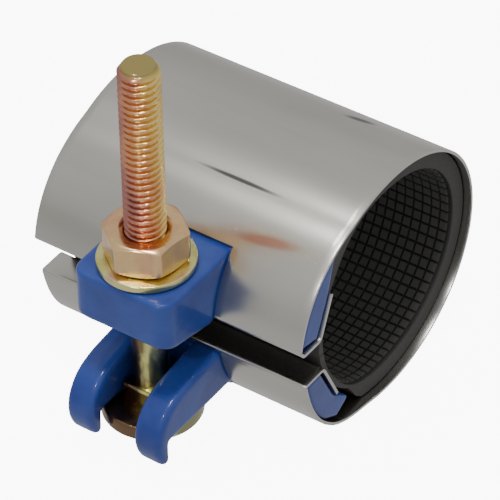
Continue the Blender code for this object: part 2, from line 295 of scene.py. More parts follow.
def skin_radius(angle):
    """Outer radius of the sheet: it bends outwards at a crease, onto the bar of each lug."""
    if angle > 0:
        past_crease = angle - CREASE_ANGLE
        lifted = (past_crease + math.hypot(past_crease, CREASE_SOFTNESS)) / 2
        share = min(lifted / (UPPER_FULL_LIFT_ANGLE - CREASE_ANGLE), 1.0)
        return ring_radius(angle) + UPPER_LIFT * math.sin(share * math.pi / 2)
    away = -angle
    rise = LOWER_LIFT * smooth_step(away, *LOWER_LIFT_ANGLES)
    return ring_radius(angle) + rise - LOWER_FALL * smooth_step(away, *LOWER_FALL_ANGLES)


def fillet(before, corner, after, radius, steps=5):
    """Replace a corner by a short curve that starts and ends a radius away from it."""
    corner = Vector(corner)
    start = corner + (Vector(before) - corner).normalized() * radius
    end = corner + (Vector(after) - corner).normalized() * radius
    points = []
    for step in range(steps + 1):
        t = step / steps
        points.append((1 - t) ** 2 * start + 2 * t * (1 - t) * corner + t ** 2 * end)
    return points


def round_corners(path, radii):
    """Fillet the inner corners of an open path; radii holds one radius for each."""
    rounded = [Vector(path[0])]
    for index, radius in enumerate(radii, start=1):
        rounded.extend(fillet(path[index - 1], path[index], path[index + 1], radius))
    rounded.append(Vector(path[-1]))
    return rounded


def angle_at_height(height, start, end):
    """Angle between start and end at which the skin passes a height, found by halving."""
    rising = polar(skin_radius(end), end).y > polar(skin_radius(start), start).y
    for _ in range(30):
        middle = (start + end) / 2
        if (polar(skin_radius(middle), middle).y < height) == rising:
            start = middle
        else:
            end = middle
    return (start + end) / 2


def sheet_path(steps=220):
    """Outer face of the sheet from the lower fold's hidden end to the upper fold's hidden end."""
    lower_bend = polar(skin_radius(-LOWER_FOLD_ANGLE), -LOWER_FOLD_ANGLE)
    upper_bend = polar(skin_radius(UPPER_FOLD_ANGLE), UPPER_FOLD_ANGLE)
    start, end = -LOWER_FOLD_ANGLE + LOWER_BEND_SPAN, UPPER_FOLD_ANGLE - UPPER_BEND_SPAN
    angles = [start + (end - start) * step / steps for step in range(steps + 1)]
    angles += [angle_at_height(height, WINDOW_SEARCH_ANGLE, end) for height in UPPER_WINDOW_Z]
    angles += [angle_at_height(height, -WINDOW_SEARCH_ANGLE, start) for height in LOWER_WINDOW_Z]
    skin = [polar(skin_radius(angle), angle) for angle in sorted(angles)]
    lower = round_corners(
        [LOWER_INNER_FOLD[1], LOWER_INNER_FOLD[0], lower_bend, skin[0]], LOWER_BEND_RADII
    )
    upper = round_corners(
        [skin[-1], upper_bend, UPPER_NOSE, *UPPER_INNER_FOLD], UPPER_BEND_RADII
    )
    return lower + skin[1:-1] + upper


path = sheet_path()
length = sum((b - a).length for a, b in zip(path, path[1:]))
print(f"sheet path has {len(path)} points and is {length / MM:.0f} mm long")

# %% [markdown]
# ## Stainless sheet
# Cold-rolled stainless has a satin face: long soft streaks from the rolls, a faint warm tint, and
# patches that are a little duller where it was handled. Two noises do it. One is stretched along the
# pipe for the roll lines, the other is broad and only nudges the roughness. A few marks follow: a dark
# streak of painted shade along the crease, a scuff on the crown and a rusty smear beside the upper lug.
# Each is an ellipsoid in space, laid on the skin, which the sheet cuts through.

# %% Place the marks on the sheet
# the dark colour serves as painted shade in the crease and as the colour of the scuff on the crown
SHADE_AND_SCUFF_COLOUR = (0.10, 0.095, 0.09)
SMEAR_COLOUR = (0.55, 0.33, 0.29)
# distance along the pipe, angle and skew in degrees, half length and half width, colour
MARKS = (
    # painted shade: a dark streak along the crease, where the sheet bends out
    (7.0 * MM, 120.5, 0.0, (14.5 * MM, 0.75 * MM), SHADE_AND_SCUFF_COLOUR),
    (17.5 * MM, 58.0, 15.0, (5.0 * MM, 1.8 * MM), SHADE_AND_SCUFF_COLOUR),
    (21.5 * MM, 138.5, 9.0, (10.5 * MM, 1.9 * MM), SMEAR_COLOUR),
)
MARK_DEPTH = 1.5 * MM
MARK_CORE = 0.35


def add_mark(material, along, angle, skew, half_sizes):
    """1 at the centre of a long thin mark on the skin and 0 outside it."""
    nodes, links = material.node_tree.nodes, material.node_tree.links
    centre = polar(skin_radius(angle), angle)
    uphill = polar(skin_radius(angle - 1), angle - 1) - polar(skin_radius(angle + 1), angle + 1)
    tilt = Matrix.Rotation(math.atan2(uphill.y, uphill.x), 3, "X")
    turn = tilt @ Matrix.Rotation(math.radians(skew), 3, "Z")
    place = nodes.new("ShaderNodeTexCoord")
    mapping = nodes.new("ShaderNodeMapping")
    mapping.vector_type = "TEXTURE"
    mapping.inputs["Location"].default_value = (along, centre.x, centre.y)
    mapping.inputs["Rotation"].default_value = turn.to_euler("XYZ")
    mapping.inputs["Scale"].default_value = (*half_sizes, MARK_DEPTH)
    measure = nodes.new("ShaderNodeVectorMath")
    measure.operation = "LENGTH"
    fade = nodes.new("ShaderNodeMapRange")
    fade.interpolation_type = "SMOOTHSTEP"
    fade.inputs["From Min"].default_value = 1.0
    fade.inputs["From Max"].default_value = MARK_CORE
    links.new(place.outputs["Object"], mapping.inputs["Vector"])
    links.new(mapping.outputs["Vector"], measure.inputs[0])
    links.new(measure.outputs["Value"], fade.inputs["Value"])
    return fade.outputs["Result"]


print("marks on the sheet:", len(MARKS))

# %% Make the stainless material
def make_stainless():
    material, shader = start_material("stainless_satin", (0.60, 0.585, 0.54), 0.27, 1.0)
    links = material.node_tree.links
    streaks = add_noise(material, 60, 5, (0.06, 1, 1))
    clouds = add_noise(material, 28, 3, (0.5, 1, 1), 0.5)
    tint = add_ramp(material, clouds, [(0.32, (0.555, 0.545, 0.50)), (0.68, (0.66, 0.64, 0.60))])
    streaked = add_ramp(material, streaks, [(0.30, (0.87, 0.87, 0.87)), (0.70, (1.0, 1.0, 1.0))])
    sheet = add_mix(material, 1.0, tint, streaked, "MULTIPLY")
    for along, angle, skew, half_sizes, colour in MARKS:
        sheet = add_mix(material, add_mark(material, along, angle, skew, half_sizes), sheet, colour)
    links.new(sheet, shader.inputs["Base Color"])
    fine_gloss = add_range(material, streaks, 0.18, 0.34)
    broad_gloss = add_range(material, clouds, 0.18, 0.32)
    links.new(add_mix(material, 0.5, fine_gloss, broad_gloss), shader.inputs["Roughness"])
    add_bump(material, shader, streaks, 0.18, 0.0002)
    return material


stainless = make_stainless()
print("stainless made")

# %% [markdown]
# ## Cut, thicken and bevel the sheet
# The sheet is first a grid of quads without thickness, so its two windows are made by leaving faces out.
# The corners of each face are listed so that it points out, and Solidify then gives the sheet its gauge
# towards the bore. A small Bevel breaks the cut edges so that they catch the light as a sheared edge
# does. A boolean could cut the windows too, but it leaves long thin triangles.

# %% Build the band
SKIN_INNERMOST = 33.0 * MM
NOSE_Y = -36.0 * MM
EDGE_BREAK = 0.16 * MM
SHARP_BEND = 50.0
EDGE_STEPS = 12
WINDOW_STEPS = 14


def is_window(centre):
    """True for a face of the skin, outside the inner folds, where a lug comes through."""
    if abs(centre.x) > WINDOW_HALF or centre.y > 0 or math.hypot(centre.y, centre.z) < SKIN_INNERMOST:
        return False
    nose = 0 < centre.z < UPPER_WINDOW_Z[0] and centre.y < NOSE_Y
    upper = UPPER_WINDOW_Z[0] < centre.z < UPPER_WINDOW_Z[1]
    lower = LOWER_WINDOW_Z[0] < centre.z < LOWER_WINDOW_Z[1]
    return nose or upper or lower


def make_band_mesh():
    edge = BAND_HALF - WINDOW_HALF
    columns = [-BAND_HALF + edge * i / EDGE_STEPS for i in range(EDGE_STEPS)]
    columns += [-WINDOW_HALF + 2 * WINDOW_HALF * i / WINDOW_STEPS for i in range(WINDOW_STEPS)]
    columns += [WINDOW_HALF + edge * i / EDGE_STEPS for i in range(EDGE_STEPS + 1)]
    bm = bmesh.new()
    rows = [[bm.verts.new((x, y, z)) for x in columns] for y, z in path]
    for row, follow in zip(rows, rows[1:]):
        for i in range(len(columns) - 1):
            corners = (row[i], follow[i], follow[i + 1], row[i + 1])
            centre = sum((vert.co for vert in corners), Vector()) / 4
            if not is_window(centre):
                bm.faces.new(corners)
    bmesh.ops.delete(bm, geom=[v for v in bm.verts if not v.link_faces], context="VERTS")
    return take_mesh(bm, "band")


def make_band():
    band = add_piece("band", make_band_mesh(), stainless)
    wall = band.modifiers.new("gauge", "SOLIDIFY")
    wall.thickness = BAND_THICKNESS
    wall.offset = -1
    wall.use_even_offset = True
    rim = band.modifiers.new("broken_edges", "BEVEL")
    rim.width = EDGE_BREAK
    rim.segments = 2
    rim.limit_method = "ANGLE"
    rim.angle_limit = math.radians(SHARP_BEND)
    apply_modifiers(band)
    band.data.shade_smooth()
    band.data.set_sharp_from_angle(angle=math.radians(SHARP_BEND))
    return band


band = make_band()
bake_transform(band)
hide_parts("band_upper", "band_lower")
print("band faces:", len(band.data.polygons))

# %% [markdown]
# ## Rubber
# Moulded rubber is almost black and dull. What stops it from looking like a hole is the dust and talc
# that sit on its high places and the fine grain of the mould, so noise lifts the colour a little and a
# bump gives the grain.

# %% Make the rubber material
def make_rubber():
    material, shader = start_material("black_rubber", (0.012, 0.012, 0.012), 0.7)
    shader.inputs["Specular IOR Level"].default_value = 0.3
    links = material.node_tree.links
    grain = add_noise(material, 900, 4)
    dust = add_noise(material, 45, 6)
    raised = add_edge_wear(material, 0.50, 0.62)
    dark = add_ramp(material, dust, [(0.35, (0.014, 0.014, 0.015)), (0.75, (0.042, 0.041, 0.040))])
    dusty = add_mix(material, raised, dark, (0.085, 0.083, 0.080))
    links.new(dusty, shader.inputs["Base Color"])
    links.new(add_range(material, grain, 0.60, 0.85), shader.inputs["Roughness"])
    add_bump(material, shader, grain, 0.35, 0.0002)
    return material


rubber = make_rubber()
print("rubber made")

# %% [markdown]
# ## Gasket body
# The gasket is one moulded mat, rolled to the ring. Under the lugs it gets thinner, and its upper end is
# skived to a wedge. Two lists of points of equal length, one for the back and one for the bore, make a
# closed shell when they are joined across the ends and the sides. The bore side is divided into square
# cells, because the waffle pattern needs one face for each pad.

# %% Define the gasket's section
GASKET_TONGUE_RADIUS = 27.7 * MM
GASKET_BORE_RADIUS = 25.6 * MM
GASKET_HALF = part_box("gasket_upper")[1].x
PAD_HEIGHT = 0.45 * MM
PAD_CELL = 2.5 * MM
PAD_COLUMNS = 28
PAD_PITCH_RADIUS = 1.06 * GASKET_BORE_RADIUS
BORE_THINS = (100, 145)
UPPER_BACK_THINS = (126, 151)
LOWER_BACK_THINS = (106, 124)


def gasket_bore(angle):
    """Radius of the pads' tops: it follows the oval ring, then thins under the lugs."""
    plain = ring_radius(angle) - BAND_THICKNESS - GAP - GASKET_THICKNESS
    return plain + (GASKET_BORE_RADIUS - plain) * smooth_step(abs(angle), *BORE_THINS)


def gasket_back(angle):
    plain = ring_radius(angle) - BAND_THICKNESS - GAP
    thins = UPPER_BACK_THINS if angle > 0 else LOWER_BACK_THINS
    return plain + (GASKET_TONGUE_RADIUS - plain) * smooth_step(abs(angle), *thins)


def loft_shell(name, back, bore):
    """Closed shell between two (y, z) lists; bore faces that take a pad are marked pad_cell."""
    half = GASKET_HALF
    rim = (2 * half - PAD_COLUMNS * PAD_CELL) / 2
    columns = [-half] + [-half + rim + PAD_CELL * i for i in range(PAD_COLUMNS + 1)] + [half]
    bm = bmesh.new()
    pad_cell = bm.faces.layers.int.new("pad_cell")
    outer = [[bm.verts.new((x, y, z)) for x in columns] for y, z in back]
    inner = [[bm.verts.new((x, y, z)) for x in columns] for y, z in bore]
    last = len(columns) - 1
    for row in range(len(back) - 1):
        for i in range(last):
            bm.faces.new((outer[row][i], outer[row][i + 1], outer[row + 1][i + 1], outer[row + 1][i]))
            near, far = inner[row], inner[row + 1]
            face = bm.faces.new((near[i], far[i], far[i + 1], near[i + 1]))
            face[pad_cell] = int(0 < i < last - 1 and 0 < row < len(back) - 2)
        for i in (0, last):
            bm.faces.new((outer[row][i], outer[row + 1][i], inner[row + 1][i], inner[row][i]))
    for row in (0, -1):
        for i in range(last):
            bm.faces.new((outer[row][i], inner[row][i], inner[row][i + 1], outer[row][i + 1]))
    bmesh.ops.recalc_face_normals(bm, faces=bm.faces)
    return take_mesh(bm, name)


print(f"gasket bore {2 * gasket_bore(180) / MM:.1f} to {2 * gasket_bore(0) / MM:.1f} mm across")

# %% [markdown]
# ## Waffle pads with Geometry Nodes
# The pads let the mat squeeze into pits in a rusted pipe. More than a thousand equal pads are a job for
# a node tree. Each marked face is extruded by nothing and shrunk, which leaves a groove floor round it.
# A second extrusion raises the pad and a second shrink gives its sides a draft, as a mould needs.

# %% Build the node tree for the pads
def new_tree(name, inputs):
    """A geometry tree with named inputs, given as (name, socket type, default)."""
    tree = bpy.data.node_groups.new(name, "GeometryNodeTree")
    tree.interface.new_socket("Geometry", in_out="INPUT", socket_type="NodeSocketGeometry")
    for label, kind, default in inputs:
        socket = tree.interface.new_socket(label, in_out="INPUT", socket_type=kind)
        if default is not None:
            socket.default_value = default
    tree.interface.new_socket("Geometry", in_out="OUTPUT", socket_type="NodeSocketGeometry")
    return tree, tree.nodes.new("NodeGroupInput"), tree.nodes.new("NodeGroupOutput")


def end_tree(tree, geometry, material_socket, group_output):
    """Realize Instances and Set Material close every tree."""
    realize = tree.nodes.new("GeometryNodeRealizeInstances")
    paint = tree.nodes.new("GeometryNodeSetMaterial")
    tree.links.new(geometry, realize.inputs["Geometry"])
    tree.links.new(realize.outputs["Geometry"], paint.inputs["Geometry"])
    tree.links.new(material_socket, paint.inputs["Material"])
    tree.links.new(paint.outputs["Geometry"], group_output.inputs["Geometry"])


def make_pad_tree():
    tree, given, result = new_tree("waffle_pads", (
        ("Floor Share", "NodeSocketFloat", 0.84),
        ("Pad Height", "NodeSocketFloat", 0.0005),
        ("Draft", "NodeSocketFloat", 0.88),
        ("Material", "NodeSocketMaterial", None),
    ))
    marked = tree.nodes.new("GeometryNodeInputNamedAttribute")
    marked.data_type = "INT"
    marked.inputs["Name"].default_value = "pad_cell"
    geometry, chosen = given.outputs["Geometry"], marked.outputs["Attribute"]
    for height, shrink in ((None, "Floor Share"), ("Pad Height", "Draft")):
        extrude = tree.nodes.new("GeometryNodeExtrudeMesh")
        extrude.mode = "FACES"
        extrude.inputs["Individual"].default_value = True
        extrude.inputs["Offset Scale"].default_value = 0.0
        if height:
            tree.links.new(given.outputs[height], extrude.inputs["Offset Scale"])
        scale = tree.nodes.new("GeometryNodeScaleElements")
        tree.links.new(geometry, extrude.inputs["Mesh"])
        tree.links.new(chosen, extrude.inputs["Selection"])
        tree.links.new(extrude.outputs["Mesh"], scale.inputs["Geometry"])
        tree.links.new(extrude.outputs["Top"], scale.inputs["Selection"])
        tree.links.new(given.outputs[shrink], scale.inputs["Scale"])
        geometry, chosen = scale.outputs["Geometry"], extrude.outputs["Top"]
    end_tree(tree, geometry, given.outputs["Material"], result)
    return tree


def run_tree(piece, tree, values):
    """Run a tree on a piece, setting inputs by identifier, and keep the result as a plain mesh."""
    modifier = piece.modifiers.new(tree.name, "NODES")
    modifier.node_group = tree
    for item in tree.interface.items_tree:
        if item.in_out == "INPUT" and item.name in values:
            modifier[item.identifier] = values[item.name]
    return apply_modifiers(piece)


pad_tree = make_pad_tree()
print("tree inputs:", [item.name for item in pad_tree.interface.items_tree])

# %% [markdown]
# ## Build the gasket
# The mat rides on both halves, so like the band it is one mesh that is attached to neither. Its tongue,
# which bridges the gap between the lugs, stays with the lower half, so it is a mesh of its own.

# %% Build the liner and the tongue
LINER_ENDS = (-171, 168)
TONGUE_ENDS = (-170.5, -191)
SKIVE_START, SKIVE_SPAN = 148, 20
TAPER_START, TAPER_SPAN = 174, 17
SKIVED_TIP = 0.7 * MM
TONGUE_LIP = 0.5 * MM
PAD_SHARP_ANGLE = 28.0


def gasket_section(start, end, back_at, bore_at):
    cells = round(math.radians(abs(end - start)) * PAD_PITCH_RADIUS / PAD_CELL)
    angles = [start + (end - start) * i / cells for i in range(cells + 1)]
    return [polar(back_at(a), a) for a in angles], [polar(bore_at(a) + PAD_HEIGHT, a) for a in angles]


def liner_bore(angle):
    """The bore, with the upper end skived from the inside to a wedge."""
    tip = GASKET_TONGUE_RADIUS - SKIVED_TIP - PAD_HEIGHT
    share = min(max((angle - SKIVE_START) / SKIVE_SPAN, 0), 1)
    return gasket_bore(angle) + (tip - gasket_bore(angle)) * share


def tongue_back(angle):
    """The back of the tongue, which tapers from the outside to a thin lip."""
    lip = GASKET_BORE_RADIUS + PAD_HEIGHT + TONGUE_LIP
    share = min(max((abs(angle) - TAPER_START) / TAPER_SPAN, 0), 1)
    return GASKET_TONGUE_RADIUS + (lip - GASKET_TONGUE_RADIUS) * share


def make_gasket(name, ends, back_at, bore_at):
    back, bore = gasket_section(*ends, back_at, bore_at)
    piece = add_piece(name, loft_shell(name, back, bore), rubber)
    run_tree(piece, pad_tree, {"Pad Height": PAD_HEIGHT, "Material": rubber})
    piece.data.shade_smooth()
    piece.data.set_sharp_from_angle(angle=math.radians(PAD_SHARP_ANGLE))
    return piece


gasket_liner = make_gasket("gasket_liner", LINER_ENDS, gasket_back, liner_bore)
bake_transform(gasket_liner)
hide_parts("gasket_upper")
gasket_tongue = make_gasket("gasket_tongue", TONGUE_ENDS, tongue_back, gasket_bore)
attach(gasket_tongue, "root")
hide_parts("gasket_lower")
print("liner faces:", len(gasket_liner.data.polygons), "tongue faces:", len(gasket_tongue.data.polygons))

# %% [markdown]
# ## Blue enamel
# The lugs are cast iron under thick blue paint. Paint pulls back from edges and fills hollows, so it is
# a little lighter and thinner on high places. A clear coat gives the wet gloss, and two bumps give the
# skin of the sand mould and the orange peel of the paint.

# %% Make the enamel material
def make_enamel():
    material, shader = start_material("blue_enamel", (0.018, 0.055, 0.27), 0.36)
    shader.inputs["Specular IOR Level"].default_value = 0.25
    shader.inputs["Coat Weight"].default_value = 0.4
    shader.inputs["Coat Roughness"].default_value = 0.07
    links = material.node_tree.links
    patches = add_noise(material, 70, 4)
    skin = add_noise(material, 420, 3)
    paint = add_ramp(material, patches, [(0.3, (0.016, 0.040, 0.235)), (0.7, (0.034, 0.082, 0.36))])
    worn = add_edge_wear(material, 0.53, 0.66)
    links.new(add_mix(material, worn, paint, (0.055, 0.125, 0.46)), shader.inputs["Base Color"])
    links.new(add_range(material, patches, 0.26, 0.42), shader.inputs["Roughness"])
    add_bump(material, shader, add_mix(material, 0.35, patches, skin), 0.30, 0.0006)
    return material


enamel = make_enamel()
print("enamel made")

# %% [markdown]
# ## Castings
# A casting has no sharp edge anywhere: the sand rounds it and the paint rounds it again. Bevels on such
# busy shapes often fail where they meet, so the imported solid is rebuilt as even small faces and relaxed.
# Its flats stay flat while every edge becomes soft. Slow noise then moves the surface by hundredths of a
# millimetre, because no casting is quite true.

# %% Cast the lugs
CAST_VOXEL = 0.42 * MM
CAST_RELAX_STEPS = 7
CAST_WAVE_LENGTH = 6 * MM
CAST_WAVE_HEIGHT = 0.06 * MM


def merged_copy(node):
    """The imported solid's loose triangles, welded into one mesh."""
    bm = bmesh.new()
    bm.from_mesh(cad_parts[node].data)
    bmesh.ops.remove_doubles(bm, verts=bm.verts, dist=0.001 * MM)
    bmesh.ops.recalc_face_normals(bm, faces=bm.faces)
    return take_mesh(bm, node + "_copy")


def make_casting(name, node, body):
    casting = add_piece(name, merged_copy(node), enamel)
    rebuild = casting.modifiers.new("rebuild", "REMESH")
    rebuild.mode = "VOXEL"
    rebuild.voxel_size = CAST_VOXEL
    relax = casting.modifiers.new("relax", "SMOOTH")
    relax.factor = 0.5
    relax.iterations = CAST_RELAX_STEPS
    apply_modifiers(casting)
    normals = [vert.normal.copy() for vert in casting.data.vertices]
    for vert, normal in zip(casting.data.vertices, normals):
        vert.co += normal * noise.noise(vert.co / CAST_WAVE_LENGTH) * CAST_WAVE_HEIGHT
    casting.data.materials.clear()
    casting.data.materials.append(enamel)
    casting.data.shade_smooth()
    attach(casting, body)
    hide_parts(node)
    return casting


upper_casting = make_casting("upper_lug_casting", "lug_upper", "upper_half")
lower_casting = make_casting("lower_lug_casting", "lug_lower", "root")
print("casting faces:", len(upper_casting.data.polygons), len(lower_casting.data.polygons))

# %% [markdown]
# ## Plated steel
# Yellow passivate over zinc is never one colour. It runs from straw through gold to pink and green,
# because the film's thickness changes from place to place. A shift across the bolt's axis adds painted
# light: one side is lighter and yellower, as a painted highlight, and the other darker, as painted shade.
# One function makes the finish for the thread, the blank, the nut and the washer, and only its colours
# and its painted side light differ.

# %% Make the plated finishes
PAINTED_LIGHT_SIDE = Vector((0.82, 0.57, 0))
FILM_LOW, FILM_HIGH = 0.28, 0.72
CUT_END_DEPTH = 1.3 * MM
CUT_END_FADE = 0.9 * MM
CUT_END_OLIVE = (0.50, 0.40, 0.15)


def add_side_shift(material, strength):
    """A value that grows from one side of the bolt's axis to the other, for painted side light and shade."""
    nodes, links = material.node_tree.nodes, material.node_tree.links
    place = nodes.new("ShaderNodeTexCoord")
    across = nodes.new("ShaderNodeVectorMath")
    across.operation = "DOT_PRODUCT"
    shifted = nodes.new("ShaderNodeVectorMath")
    shifted.operation = "SUBTRACT"
    shifted.inputs[1].default_value = (0, BOLT_Y, 0)
    across.inputs[1].default_value = PAINTED_LIGHT_SIDE * strength / MM
    links.new(place.outputs["Object"], shifted.inputs[0])
    links.new(shifted.outputs["Vector"], across.inputs[0])
    return across.outputs["Value"]


def add_sum(material, first, second):
    node = material.node_tree.nodes.new("ShaderNodeMath")
    node.operation = "ADD"
    material.node_tree.links.new(first, node.inputs[0])
    material.node_tree.links.new(second, node.inputs[1])
    return node.outputs[0]


def add_above(material, height, fade):
    """0 below a height and 1 from a short fade above it."""
    nodes, links = material.node_tree.nodes, material.node_tree.links
    place = nodes.new("ShaderNodeTexCoord")
    split = nodes.new("ShaderNodeSeparateXYZ")
    step = nodes.new("ShaderNodeMapRange")
    step.inputs["From Min"].default_value = height
    step.inputs["From Max"].default_value = height + fade
    links.new(place.outputs["Object"], split.inputs["Vector"])
    links.new(split.outputs["Z"], step.inputs["Value"])
    return step.outputs["Result"]


def make_plating(name, colours, roughness, patch_scale, side_light, cut_end=None):
    """Plated steel; cut_end is the height of a sheared end, where the film is olive and dull."""
    material, shader = start_material(name, colours[1], roughness, 1.0)
    links = material.node_tree.links
    film = add_noise(material, patch_scale, 5, (1, 1, 0.5), 0.6)
    # the side shift paints light into the film's colour: lighter and yellower on one side, darker on the
    # other
    film = add_sum(material, film, add_side_shift(material, side_light))
    spread = (FILM_HIGH - FILM_LOW) / (len(colours) - 1)
    stops = [(FILM_LOW + spread * i, colour) for i, colour in enumerate(colours)]
    colour = add_ramp(material, film, stops)
    if cut_end is not None:
        near_end = add_above(material, cut_end - CUT_END_DEPTH, CUT_END_FADE)
        colour = add_mix(material, near_end, colour, CUT_END_OLIVE)
    links.new(colour, shader.inputs["Base Color"])
    scratches = add_noise(material, 700, 3, (1, 1, 0.2))
    links.new(add_range(material, scratches, roughness - 0.08, roughness + 0.10), shader.inputs["Roughness"])
    add_bump(material, shader, scratches, 0.12, 0.0001)
    return material


PINK_GOLD = ((0.46, 0.20, 0.17), (0.70, 0.32, 0.20), (0.80, 0.44, 0.20), (0.92, 0.68, 0.24))
ROSE_GOLD = ((0.66, 0.36, 0.28), (0.80, 0.47, 0.27), (0.88, 0.60, 0.30), (0.72, 0.50, 0.34))
STRAW = ((0.42, 0.38, 0.13), (0.72, 0.68, 0.24), (0.84, 0.78, 0.38), (0.70, 0.52, 0.34))
# the blank's straw with painted reflections: dark brown stops paint shade on one side, bright straw stops
# paint a highlight band
STRAW_PAINTED_REFLECTIONS = (
    (0.20, 0.12, 0.07), (0.26, 0.20, 0.10), (0.74, 0.72, 0.28), (0.80, 0.78, 0.32), (0.30, 0.29, 0.15)
)
thread_plating = make_plating("pink_gold_plating", PINK_GOLD, 0.22, 110, 0.035, cut_end=bolt_high.z)
nut_plating = make_plating("rose_gold_plating", ROSE_GOLD, 0.22, 120, 0.004)
washer_plating = make_plating("straw_plating", STRAW, 0.24, 120, 0.0)
# painted reflections on the blank: a strong side shift across dark and bright stops
blank_plating = make_plating("straw_plating_painted_reflections", STRAW_PAINTED_REFLECTIONS, 0.22, 90, 0.05)
print("plated finishes made")

# %% [markdown]
# ## Rolled thread with Geometry Nodes
# A thread is one rule: the radius depends on how far a point is from the helix. A flat grid is wrapped
# into a tube and each point's radius comes from its phase along the helix. The crest is held flat by a
# clamp, the thread fades out into the shank, and a minimum with a cone cuts the chamfer on the end.

# %% Build the node tree for the thread
THREAD_START = 6.0 * MM
CREST_RADIUS = 4.98 * MM
SHANK_RADIUS = 4.5 * MM
THREAD_PITCH = 1.75 * MM
THREAD_DEPTH = 0.95 * MM
RUN_OUT_TURNS = 2.5
CREST_PHASE, ROOT_PHASE = 0.09, 0.43
CAP_SHARE = 0.006
THREAD_SHARP_ANGLE = 46.0


class Field:
    """Short names for the Math node, so that the tree below reads like the formula."""

    def __init__(self, tree):
        self.tree = tree

    def math(self, operation, *values):
        node = self.tree.nodes.new("ShaderNodeMath")
        node.operation = operation
        for socket, value in zip(node.inputs, values):
            if isinstance(value, (int, float)):
                socket.default_value = value
            else:
                self.tree.links.new(value, socket)
        return node.outputs[0]

    def ramp(self, value, low, high, to_low=0.0, to_high=1.0, kind="LINEAR"):
        node = self.tree.nodes.new("ShaderNodeMapRange")
        node.interpolation_type = kind
        for label, number in (("Value", value), ("From Min", low), ("From Max", high),
                              ("To Min", to_low), ("To Max", to_high)):
            if isinstance(number, (int, float)):
                node.inputs[label].default_value = number
            else:
                self.tree.links.new(number, node.inputs[label])
        return node.outputs["Result"]


def make_thread_tree():
    tree, given, result = new_tree("rolled_thread", (
        ("Columns", "NodeSocketInt", 60),
        ("Rows", "NodeSocketInt", 490),
        ("Start", "NodeSocketFloat", 0.0),
        ("End", "NodeSocketFloat", 0.07),
        ("Pitch", "NodeSocketFloat", 0.00175),
        ("Crest Radius", "NodeSocketFloat", 0.005),
        ("Shank Radius", "NodeSocketFloat", 0.0045),
        ("Depth", "NodeSocketFloat", 0.001),
        ("Chamfer Length", "NodeSocketFloat", 0.0016),
        ("Chamfer Drop", "NodeSocketFloat", 0.0012),
        ("Material", "NodeSocketMaterial", None),
    ))
    field = Field(tree)
    start, end, pitch = given.outputs["Start"], given.outputs["End"], given.outputs["Pitch"]
    crest, shank = given.outputs["Crest Radius"], given.outputs["Shank Radius"]
    grid = tree.nodes.new("GeometryNodeMeshGrid")
    tree.links.new(given.outputs["Columns"], grid.inputs["Vertices X"])
    tree.links.new(given.outputs["Rows"], grid.inputs["Vertices Y"])
    position = tree.nodes.new("GeometryNodeInputPosition")
    split = tree.nodes.new("ShaderNodeSeparateXYZ")
    tree.links.new(position.outputs["Position"], split.inputs["Vector"])
    around = field.math("ADD", split.outputs["X"], 0.5)
    along = field.math("ADD", split.outputs["Y"], 0.5)
    height = field.ramp(along, CAP_SHARE, 1.0 - CAP_SHARE, start, end)
    phase = field.math("FRACT", field.math("SUBTRACT", field.math("DIVIDE", height, pitch), around))
    from_crest = field.math("ABSOLUTE", field.math("SUBTRACT", phase, 0.5))
    groove = field.ramp(from_crest, CREST_PHASE, ROOT_PHASE, kind="SMOOTHSTEP")
    run_out = field.math("ADD", start, field.math("MULTIPLY", pitch, RUN_OUT_TURNS))
    rolled = field.ramp(height, field.math("ADD", start, pitch), run_out)
    full = field.math("SUBTRACT", crest, field.math("MULTIPLY", groove, given.outputs["Depth"]))
    threaded = field.ramp(rolled, 0.0, 1.0, shank, full)
    chamfer_start = field.math("SUBTRACT", end, given.outputs["Chamfer Length"])
    drop = field.ramp(height, chamfer_start, end, 0.0, given.outputs["Chamfer Drop"])
    radius = field.math("MINIMUM", threaded, field.math("SUBTRACT", crest, drop))
    past_first = field.math("GREATER_THAN", along, 0.001)
    before_last = field.math("LESS_THAN", along, 0.999)
    radius = field.math("MULTIPLY", radius, field.math("MULTIPLY", past_first, before_last))
    turn = field.math("MULTIPLY", around, 2 * math.pi)
    place = tree.nodes.new("ShaderNodeCombineXYZ")
    tree.links.new(field.math("MULTIPLY", radius, field.math("COSINE", turn)), place.inputs["X"])
    tree.links.new(field.math("MULTIPLY", radius, field.math("SINE", turn)), place.inputs["Y"])
    tree.links.new(height, place.inputs["Z"])
    wrap = tree.nodes.new("GeometryNodeSetPosition")
    tree.links.new(grid.outputs["Mesh"], wrap.inputs["Geometry"])
    tree.links.new(place.outputs["Vector"], wrap.inputs["Position"])
    weld = tree.nodes.new("GeometryNodeMergeByDistance")
    weld.inputs["Distance"].default_value = 0.000002
    tree.links.new(wrap.outputs["Geometry"], weld.inputs["Geometry"])
    end_tree(tree, weld.outputs["Geometry"], given.outputs["Material"], result)
    return tree


def make_thread():
    piece = add_piece("bolt_thread", bpy.data.meshes.new("bolt_thread"), thread_plating)
    run_tree(piece, make_thread_tree(), {
        "Start": THREAD_START, "End": bolt_high.z, "Pitch": THREAD_PITCH, "Crest Radius": CREST_RADIUS,
        "Shank Radius": SHANK_RADIUS, "Depth": THREAD_DEPTH, "Material": thread_plating,
    })
    piece.data.transform(Matrix.Translation((0, BOLT_Y, 0)))
    piece.data.shade_smooth()
    piece.data.set_sharp_from_angle(angle=math.radians(THREAD_SHARP_ANGLE))
    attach(piece, "bolt")
    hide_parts("clamp_bolt")
    return piece


bolt_thread = make_thread()
print("thread faces:", len(bolt_thread.data.polygons))

# %% [markdown]
# ## Turned blank, nut and washer
# Headed and turned parts are a profile spun round an axis. One lathe function serves them all, and it
# lets the outer radius change with the angle: a hexagon is then only a turned part whose radius runs
# along six flats, and the chamfer on its corners is the minimum of the hexagon and a cone.

